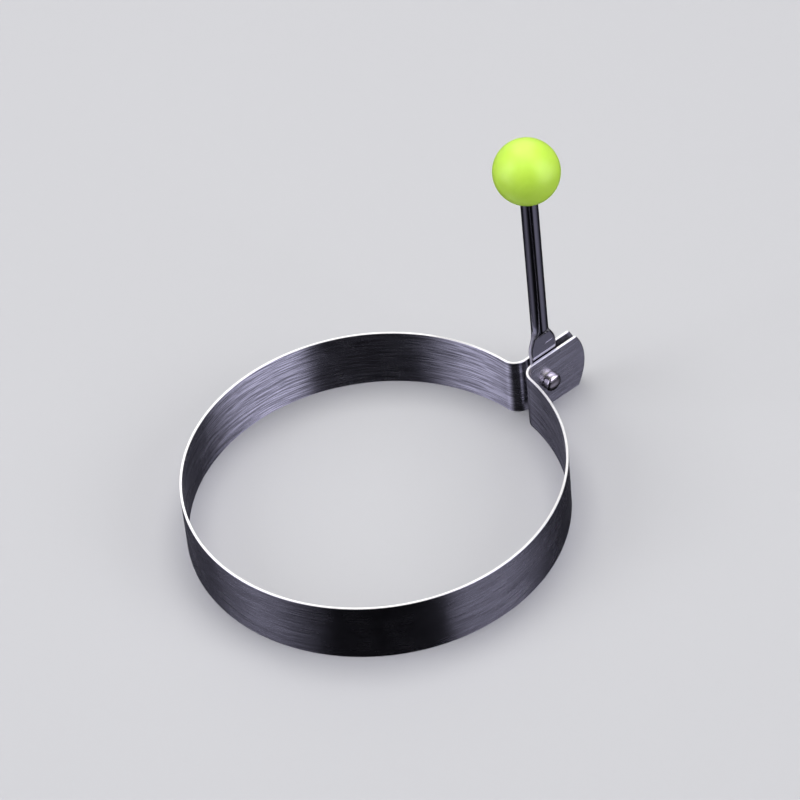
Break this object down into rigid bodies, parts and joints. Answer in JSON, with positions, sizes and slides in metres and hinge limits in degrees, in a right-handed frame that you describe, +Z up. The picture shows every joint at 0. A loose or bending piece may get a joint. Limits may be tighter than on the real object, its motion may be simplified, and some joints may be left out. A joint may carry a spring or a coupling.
{
  "type": "egg ring",
  "caption": "Open steel ring that shapes an egg in a frying pan, with a riveted upright handle that folds down across it and ends in a plastic ball.",
  "frame": {"origin": "on the surface that the ring stands on, below the middle of the whole object's box", "axes": "+X from the ring out along the pair of ears, Y along the hinge rivet, with the rivet's higher head towards -Y, +Z up along the handle"},
  "size_m": [0.104, 0.0844, 0.0786],
  "materials": {
    "band_steel": "satin stainless steel, brushed along the strip, with bright sheared edges",
    "rivet_steel": "bright stainless steel, turned and peened",
    "handle_steel": "polished stainless steel rod, its foot pressed flat",
    "ball_plastic": "lime green moulded plastic, satin gloss"
  },
  "bodies": {
    "ring": {"ring_band": "band_steel", "hinge_rivet": "rivet_steel"},
    "handle": {"handle_rod": "handle_steel", "ball_knob": "ball_plastic"}
  },
  "joints": [
    {"name": "handle_fold", "type": "hinge", "parent": "ring", "child": "handle", "pos_m": [0.04119, 0, 0.0075], "axis": [0, -1, 0], "range_deg": [-92, 87]}
  ]
}
